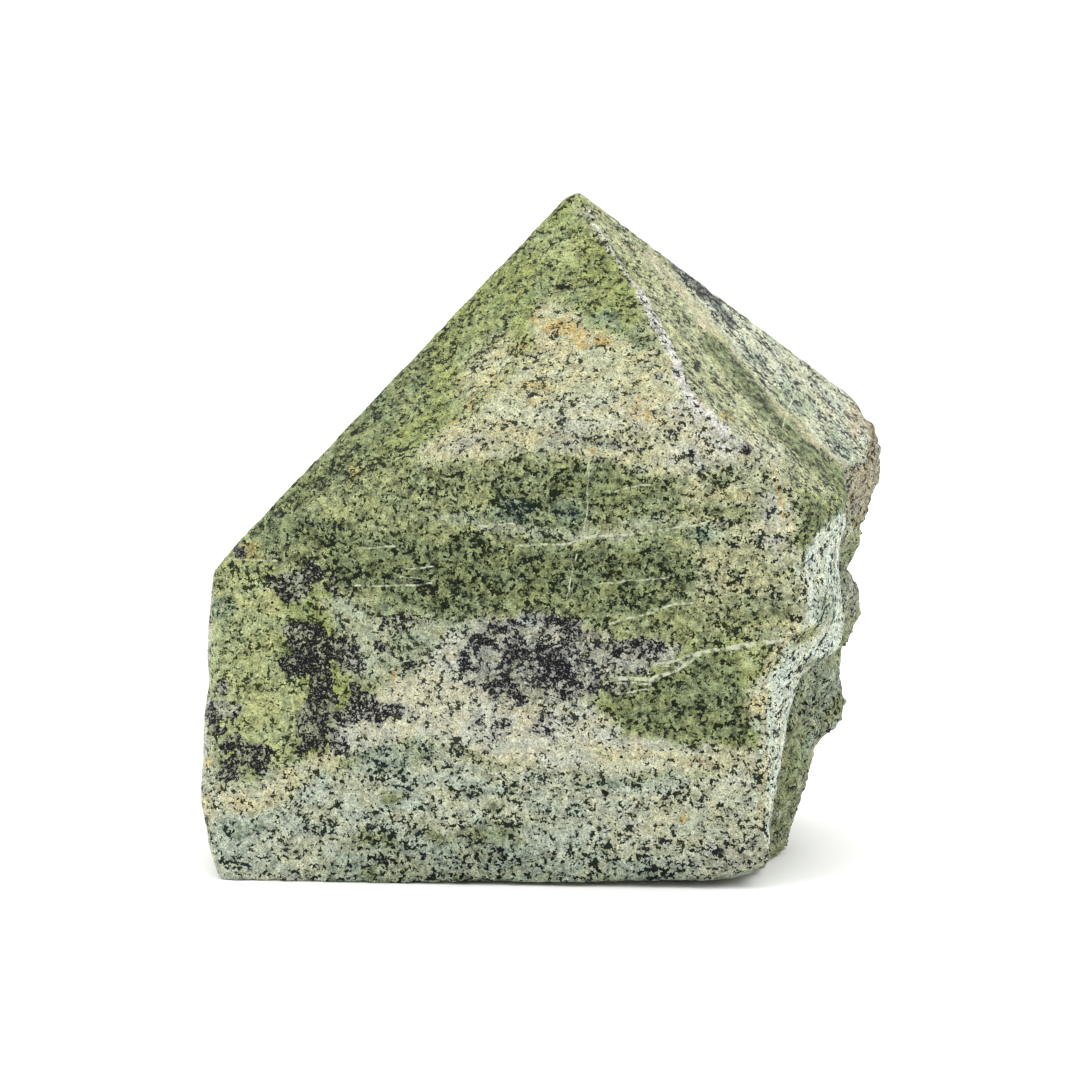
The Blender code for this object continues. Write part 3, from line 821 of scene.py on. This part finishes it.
class Marks:
    """The kinds of stone, patches, stains and veins at the points of a mesh, in millimetres."""

    def __init__(self, places, normals, raw, source):
        self.places = places
        self.normals = normals
        self.raw = raw
        self.count = len(places)
        self.share = np.zeros(self.count)
        self.middling = np.zeros(self.count)
        self.light = np.zeros((self.count, 3))
        self.dark = np.zeros((self.count, 3))
        wide = [waves(places, WIDE_BENDS, shift) for shift in WIDE_SHIFTS]
        fine = [waves(places, FINE_BENDS, shift) for shift in FINE_SHIFTS]
        across, _, up = places.T
        self.zone_across = across + ZONE_BEND_ACROSS[0] * wide[0] + ZONE_BEND_ACROSS[1] * fine[0]
        self.zone_up = up + ZONE_BEND_UP[0] * wide[1] + ZONE_BEND_UP[1] * fine[1]
        self.bed = places @ np.array(FOLIATION) + BED_BEND[0] * wide[2] + BED_BEND[1] * fine[2]
        self.spot_places = (across + SPOT_BEND_ACROSS * fine[1], up + SPOT_BEND_UP * fine[2])
        self.vein_places = (across + VEIN_BEND * fine[0], up + VEIN_BEND * fine[1])
        self.front = self.find_front(source)

    def find_front(self, source):
        """1 where a point faces the viewer and is near the outermost surface there, down to 0 elsewhere."""
        bm = merged_copy(source)
        tree = BVHTree.FromBMesh(bm)
        bm.free()
        forward = Vector((0.0, 1.0, 0.0))
        depth = np.zeros(self.count)
        for k, (x, y, z) in enumerate(self.places * MM):
            hit = tree.ray_cast(Vector((x, RAY_START, z)), forward)[0]
            depth[k] = (y - hit.y) / MM if hit else 0.0
        return (1.0 - ease(depth, *FRONT_DEPTHS)) * ease(-self.normals[:, 1], *FRONT_FACING)

    def find_strip(self):
        """1 on the pale strip of the right side, down to 0 elsewhere."""
        strip = ease(self.normals[:, 0], *STRIP_FACING)
        strip = strip * (1.0 - ease(np.abs(self.normals[:, 2]), *STRIP_LEANING))
        strip = strip * (1.0 - self.raw) * (self.places[:, 0] > 0.0)
        return strip * (1.0 - ease(self.places[:, 2], *STRIP_TOP))

    def paint(self, weight, kind):
        share, light, dark, middling = KINDS[kind]
        self.share += (share - self.share) * weight
        self.middling += (middling - self.middling) * weight
        self.light += (np.array(linear(*light)) - self.light) * weight[:, None]
        self.dark += (np.array(linear(*dark)) - self.dark) * weight[:, None]

    def beds(self):
        self.paint(np.ones(self.count), FIRST_BED)
        for start, kind in BEDS:
            self.paint(ease(self.bed, start - BED_SOFTNESS, start + BED_SOFTNESS), kind)

    def spots(self, table, weight):
        for kind, *shape, strength in table:
            self.paint(weight * strength * oval(*self.spot_places, *shape, SPOT_SOFTNESS), kind)

    def zones(self):
        face = self.front * (1.0 - self.raw)
        for kind, rim, corners in REGIONS:
            self.paint(face * region(self.zone_across, self.zone_up, corners, rim), kind)
        strip = self.find_strip()
        self.paint(strip, "strip")
        self.spots(SPOTS, face)
        for kind, half_width, points in STRIPES:
            self.paint(face * self.streak(half_width, points, STRIPE_EDGE), kind)
        self.paint(strip * region(*self.spot_places, STRIP_CORNER, CORNER_SOFTNESS), "moss")
        self.paint(RAW_COVER * self.raw, "raw")
        self.spots(RIGHT_SPOTS, self.raw * (self.places[:, 0] > 0.0))

    def streak(self, half_width, points, edge):
        """Share of a streak along a line of the front, whose edge is given in half widths."""
        gap = line_gap(*self.vein_places, points)[1]
        return 1.0 - ease(gap, edge[0] * half_width, edge[1] * half_width)

    def patches(self, table, rim):
        total = np.zeros(self.count)
        for *shape, strength in table:
            total = np.maximum(total, strength * oval(*self.spot_places, *shape, rim))
        return total * self.front

    def veins(self):
        """The way to the nearest vein, and how wide that vein is; its width is 0 away from veins."""
        way = np.zeros((self.count, 2))
        gap = np.full(self.count, VEIN_REACH)
        width = np.zeros(self.count)
        for half_width, points in VEINS:
            vein_way, vein_gap = line_gap(*self.vein_places, points)
            nearer = vein_gap < gap
            way[nearer] = vein_way[nearer]
            gap[nearer] = vein_gap[nearer]
            width[nearer] = half_width
        way = np.stack([way[:, 0], np.zeros(self.count), way[:, 1]], axis=1)
        return way, width * (self.front > FRONT_LEAST)

    def bruise(self):
        total = np.zeros(self.count)
        for half_width, strength, points in WORN_RIDGE:
            total = np.maximum(total, strength * self.streak(half_width, points, BRUISE_EDGE))
        return total * self.front


def add_layers(mesh, kind, field, layers):
    for name, values in layers.items():
        layer = mesh.attributes.new(name, kind, "POINT")
        layer.data.foreach_set(field, np.asarray(values, dtype=np.float32).ravel())


def mark(mesh, source, raw):
    """Write the marks of the stone to the points of the mesh, for its material to read."""
    places, normals = read_points(mesh)
    marks = Marks(places / MM, normals, raw, source)
    marks.beds()
    marks.zones()
    opaque = np.ones((marks.count, 1))
    way, width = marks.veins()
    colours = {"light": np.hstack([marks.light, opaque]), "dark": np.hstack([marks.dark, opaque])}
    numbers = {
        "share": marks.share,
        "middling": marks.middling,
        "ore": marks.patches(ORE_PATCHES, ORE_SOFTNESS),
        "stain": marks.patches(STAINS, STAIN_SOFTNESS),
        "vein_width": width,
        "bruise": marks.bruise(),
        "raw": raw,
    }
    add_layers(mesh, "FLOAT_COLOR", "color", colours)
    add_layers(mesh, "FLOAT_VECTOR", "vector", {"vein_way": way})
    add_layers(mesh, "FLOAT", "value", numbers)


class Nodes:
    """Short ways to add the nodes of one material."""

    def __init__(self, tree):
        self.tree = tree

    def add(self, kind, **settings):
        node = self.tree.nodes.new(kind)
        for name, value in settings.items():
            setattr(node, name, value)
        return node

    def plug(self, socket, value):
        if isinstance(value, bpy.types.NodeSocket):
            self.tree.links.new(value, socket)
        elif socket.type == "RGBA" and len(value) == 3:
            socket.default_value = (*value, 1.0)
        else:
            socket.default_value = value

    def math(self, operation, *values):
        node = self.add("ShaderNodeMath", operation=operation)
        for socket, value in zip(node.inputs, values):
            self.plug(socket, value)
        return node.outputs[0]

    def vector(self, operation, *values):
        node = self.add("ShaderNodeVectorMath", operation=operation)
        for socket, value in zip(node.inputs, values):
            self.plug(socket, value)
        return node.outputs["Value" if operation in ("LENGTH", "DOT_PRODUCT") else "Vector"]

    def scale(self, vector, factor):
        node = self.add("ShaderNodeVectorMath", operation="SCALE")
        self.plug(node.inputs[0], vector)
        self.plug(node.inputs["Scale"], factor)
        return node.outputs["Vector"]

    def noise(self, place, pattern, output="Fac"):
        """One of the stone's patterns of noise, around 0.5."""
        size, detail, roughness, shift = PATTERNS[pattern]
        node = self.add("ShaderNodeTexNoise")
        self.plug(node.inputs["Vector"], self.vector("ADD", place, shift))
        node.inputs["Scale"].default_value = 1.0 / size
        node.inputs["Detail"].default_value = detail
        node.inputs["Roughness"].default_value = roughness
        return node.outputs[output]

    def layer(self, name, output="Fac"):
        """What a layer of the piece's own points says here."""
        return self.add("ShaderNodeAttribute", attribute_name=name).outputs[output]

    def spread(self, place, pattern):
        """A pattern of noise as a number of its standard deviations."""
        centred = self.math("SUBTRACT", self.noise(place, pattern), 0.5)
        return self.math("DIVIDE", centred, DEVIATIONS[pattern])

    def centred(self, place, pattern):
        """A pattern of noise around 0."""
        centred = self.math("SUBTRACT", self.noise(place, pattern), 0.5)
        return self.math("MULTIPLY", centred, REACHES[pattern])

    def step(self, kind, value, start, end, low, high):
        node = self.add("ShaderNodeMapRange", interpolation_type=kind)
        for socket, number in zip(node.inputs, (value, start, end, low, high)):
            self.plug(socket, number)
        return node.outputs["Result"]

    def span(self, value, start, end, low=0.0, high=1.0):
        """A smooth step of a value from low at start to high at end."""
        return self.step("SMOOTHSTEP", value, start, end, low, high)

    def line(self, value, start, end, low=0.0, high=1.0):
        """A straight step of a value from low at start to high at end."""
        return self.step("LINEAR", value, start, end, low, high)

    def mix(self, share, first, second):
        node = self.add("ShaderNodeMix", data_type="RGBA", clamp_factor=True)
        self.plug(node.inputs["Factor"], share)
        self.plug(node.inputs[MIX_FIRST], first)
        self.plug(node.inputs[MIX_SECOND], second)
        return node.outputs[MIX_RESULT]


def flattened_places(nodes, place):
    """Places stretched so that noise is flat along the foliation, for grains, flecks and streaks."""
    bedded = nodes.add("ShaderNodeMapping", vector_type="POINT")
    nodes.plug(bedded.inputs["Vector"], place)
    upright = Vector((0.0, 0.0, 1.0))
    bedded.inputs["Rotation"].default_value = FOLIATION.rotation_difference(upright).to_euler()
    for flatness in (GRAIN_FLATNESS, FLECK_FLATNESS, STREAK_FLATNESS):
        yield nodes.vector("MULTIPLY", bedded.outputs["Vector"], (1.0, 1.0, flatness))


def vein_cover(nodes, place):
    """How much of the colour here is a vein's."""
    centred = nodes.vector("SUBTRACT", nodes.noise(place, "wander", "Color"), (0.5, 0.5, 0.5))
    way = nodes.vector("ADD", nodes.layer("vein_way", "Vector"), nodes.scale(centred, VEIN_WANDER))
    width = nodes.layer("vein_width")
    vein = nodes.span(nodes.math("SUBTRACT", nodes.vector("LENGTH", way), width), *VEIN_SIDES)
    vein = nodes.math("MULTIPLY", vein, nodes.span(width, 0.0, VEIN_LEAST))
    return nodes.math("MULTIPLY", vein, nodes.span(nodes.noise(place, "fade"), *FADE_SPAN, *FADE_COVER))


def serpentine(colours):
    """The banded, speckled stone. It reads the layers that mark() writes."""
    material = bpy.data.materials.new("serpentine")
    material.use_nodes = True
    nodes = Nodes(material.node_tree)
    shader = material.node_tree.nodes["Principled BSDF"]
    place = nodes.scale(nodes.add("ShaderNodeTexCoord").outputs["Object"], 1.0 / MM)
    grained, flecked, streaked = flattened_places(nodes, place)
    light = nodes.layer("light", "Color")
    dark = nodes.layer("dark", "Color")
    share = nodes.layer("share")

    # Tints and ochre stains
    tint = nodes.mix(nodes.span(nodes.noise(streaked, "tint"), *TINT_SPAN), WARM_TINT, COOL_TINT)
    light = nodes.vector("MULTIPLY", light, tint)
    hue = nodes.mix(nodes.span(nodes.noise(grained, "hue"), *TINT_SPAN), BROWN_TINT, BLUE_TINT)
    dark = nodes.vector("MULTIPLY", dark, hue)
    stain = nodes.math("ADD", nodes.layer("stain"), nodes.centred(grained, "stain"))
    light = nodes.mix(nodes.span(stain, *STAIN_SPAN, 0.0, STAIN_COVER), light, tuple(colours.ochre))

    # Bruised stone, ore, and clumps of dark grains
    bruise = nodes.math("ADD", nodes.layer("bruise"), nodes.centred(grained, "bruise"))
    bruise = nodes.span(bruise, *BRUISE_SPAN)
    light = nodes.mix(nodes.math("MULTIPLY", bruise, BRUISE_COVER), light, tuple(colours.wear))
    ore = nodes.math("ADD", nodes.layer("ore"), nodes.centred(grained, "ore"))
    ore = nodes.span(ore, *ORE_SPAN)
    dark = nodes.mix(ore, dark, tuple(colours.ore))
    light = nodes.mix(nodes.math("MULTIPLY", ore, ORE_REST_COVER), light, tuple(colours.ore_rest))
    clump = nodes.math("ADD", nodes.centred(grained, "clump"), nodes.centred(streaked, "streak"))
    share = nodes.math("ADD", share, clump)
    share = nodes.math("ADD", share, nodes.math("MULTIPLY", ore, ORE_DARKENING))
    share = nodes.math("SUBTRACT", share, nodes.math("MULTIPLY", bruise, BRUISE_CLEARING))

    # Grains of many tones, dark flecks among them, and painted light and shade of a fine relief
    fine = nodes.spread(grained, "fine")
    tone = nodes.math("SUBTRACT", nodes.spread(grained, "tone"), nodes.math("MULTIPLY", clump, CLUMP_DULLING))
    paleness = nodes.line(tone, -GRAIN_REACH, GRAIN_REACH, nodes.layer("middling"), 1.0)
    fleck = nodes.math("ADD", nodes.spread(flecked, "fleck"), nodes.math("MULTIPLY", fine, FLECK_RAGGEDNESS))
    unflecked = nodes.span(nodes.math("SUBTRACT", fleck, share), -FLECK_EDGE, FLECK_EDGE)
    # Painted glints: fine spots in the ore are made pale.
    glint = nodes.math("MULTIPLY", nodes.math("MULTIPLY", nodes.span(fine, *GLINT_SPAN), ore), GLINT_COVER)
    lit = nodes.math("MAXIMUM", nodes.math("MULTIPLY", paleness, unflecked), glint)
    # Painted light and shade of a fine relief, which also darkens the stone as a whole
    relief_shading_and_tone = nodes.line(fine, -GRAIN_REACH, GRAIN_REACH, *RELIEF_SHADING_AND_TONE)
    colour = nodes.scale(nodes.mix(lit, dark, light), relief_shading_and_tone)
    colour = nodes.mix(vein_cover(nodes, place), colour, tuple(colours.vein))

    # Finish and fine relief
    nodes.plug(shader.inputs["Base Color"], colour)
    gloss = nodes.line(lit, 0.0, 1.0, DARK_ROUGHNESS, PALE_ROUGHNESS)
    roughness = nodes.math("ADD", gloss, nodes.math("MULTIPLY", nodes.layer("raw"), RAW_ROUGHNESS))
    nodes.plug(shader.inputs["Roughness"], roughness)
    shader.inputs["Specular IOR Level"].default_value = STONE_SPECULAR
    bump = nodes.add("ShaderNodeBump")
    bump.inputs["Strength"].default_value = BUMP_STRENGTH
    bump.inputs["Distance"].default_value = BUMP_HEIGHT
    nodes.plug(bump.inputs["Height"], nodes.math("ADD", fine, nodes.math("MULTIPLY", tone, BUMP_TONE)))
    nodes.plug(shader.inputs["Normal"], bump.outputs["Normal"])
    return material


class STONE_OT_rock(bpy.types.Operator):
    """Make the fine worn surface of the rock and its stone"""

    bl_idname = "stone.rock"
    bl_label = "Rock"

    def execute(self, context):
        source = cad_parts[NODE]
        shape = context.scene.stone_shape
        bm = merged_copy(source)
        mesh = even_mesh(bm, shape.cell)
        bm.free()
        mesh.name = PIECE
        mark(mesh, source, weather(mesh, shape))
        mesh.materials.append(serpentine(context.scene.stone_colours))
        mesh.shade_smooth()
        rock = bpy.data.objects.new(PIECE, mesh)
        context.scene.collection.objects.link(rock)
        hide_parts(NODE)
        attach(rock, "root")
        return {"FINISHED"}


def soft_light(name, place, size, power):
    lamp = bpy.data.lights.new(name, "AREA")
    lamp.shape = "RECTANGLE"
    lamp.size, lamp.size_y = size
    lamp.energy = power
    item = bpy.data.objects.new(name, lamp)
    item.location = place
    item.rotation_euler = (Vector(LIGHT_AIM) - Vector(place)).to_track_quat("-Z", "Y").to_euler()
    bpy.context.scene.collection.objects.link(item)


def pale_floor(colour):
    bm = bmesh.new()
    bmesh.ops.create_grid(bm, x_segments=1, y_segments=1, size=FLOOR_HALF)
    mesh = bpy.data.meshes.new("studio_floor")
    bm.to_mesh(mesh)
    bm.free()
    material = bpy.data.materials.new("studio_floor")
    material.use_nodes = True
    shader = material.node_tree.nodes["Principled BSDF"]
    shader.inputs["Base Color"].default_value = (*colour, 1.0)
    shader.inputs["Roughness"].default_value = FLOOR_ROUGHNESS
    shader.inputs["Specular IOR Level"].default_value = FLOOR_SPECULAR
    mesh.materials.append(material)
    floor = bpy.data.objects.new("studio_floor", mesh)
    bpy.context.scene.collection.objects.link(floor)


def white_tent(studio):
    """White surroundings, dimmer towards the opening that the camera looks through."""
    world = bpy.data.worlds.new("studio")
    world.use_nodes = True
    nodes = Nodes(world.node_tree)
    direction = nodes.add("ShaderNodeTexCoord").outputs["Generated"]
    towards = nodes.vector("DOT_PRODUCT", direction, (0.0, -1.0, 0.0))
    strength = nodes.span(towards, *OPENING_SPAN, studio.surround, studio.surround * studio.opening)
    background = world.node_tree.nodes["Background"]
    background.inputs["Color"].default_value = (1.0, 1.0, 1.0, 1.0)
    nodes.plug(background.inputs["Strength"], strength)
    return world


class STONE_OT_studio(bpy.types.Operator):
    """Set up the pale floor, the soft lights and the camera"""

    bl_idname = "stone.studio"
    bl_label = "Studio"

    def execute(self, context):
        scene = context.scene
        studio = scene.stone_studio
        pale_floor(scene.stone_colours.floor)
        scene.world = white_tent(studio)
        for name, (place, size) in LIGHTS.items():
            soft_light(name, place, size, getattr(studio, name))
        camera = bpy.data.objects.new("camera", bpy.data.cameras.new("camera"))
        camera.location = studio.camera_place
        camera.rotation_euler = (math.pi / 2.0 - studio.camera_dip, 0.0, 0.0)
        camera.data.lens = studio.lens
        camera.data.sensor_width = SENSOR_WIDTH
        scene.collection.objects.link(camera)
        scene.camera = camera
        scene.view_settings.view_transform = "Standard"
        return {"FINISHED"}


class STONE_PT_panel(bpy.types.Panel):
    """Lists what makes the stone"""

    bl_idname = "STONE_PT_panel"
    bl_label = "Serpentine Rock"
    bl_space_type = "VIEW_3D"
    bl_region_type = "UI"
    bl_category = "Stone"

    def draw(self, context):
        layout = self.layout
        for settings in (context.scene.stone_shape, context.scene.stone_colours, context.scene.stone_studio):
            for name in settings.bl_rna.properties.keys():
                if name not in ("rna_type", "name"):
                    layout.prop(settings, name)
        for operator in OPERATORS:
            layout.operator(operator.bl_idname)


OPERATORS = (STONE_OT_rock, STONE_OT_studio)
CLASSES = (StoneShape, StoneColours, Studio, *OPERATORS, STONE_PT_panel)


def register():
    for item in CLASSES:
        bpy.utils.register_class(item)
    bpy.types.Scene.stone_shape = PointerProperty(type=StoneShape)
    bpy.types.Scene.stone_colours = PointerProperty(type=StoneColours)
    bpy.types.Scene.stone_studio = PointerProperty(type=Studio)


def unregister():
    del bpy.types.Scene.stone_shape
    del bpy.types.Scene.stone_colours
    del bpy.types.Scene.stone_studio
    for item in reversed(CLASSES):
        bpy.utils.unregister_class(item)


def main():
    register()
    bpy.ops.stone.rock()
    bpy.ops.stone.studio()


if __name__ == "__main__":
    main()
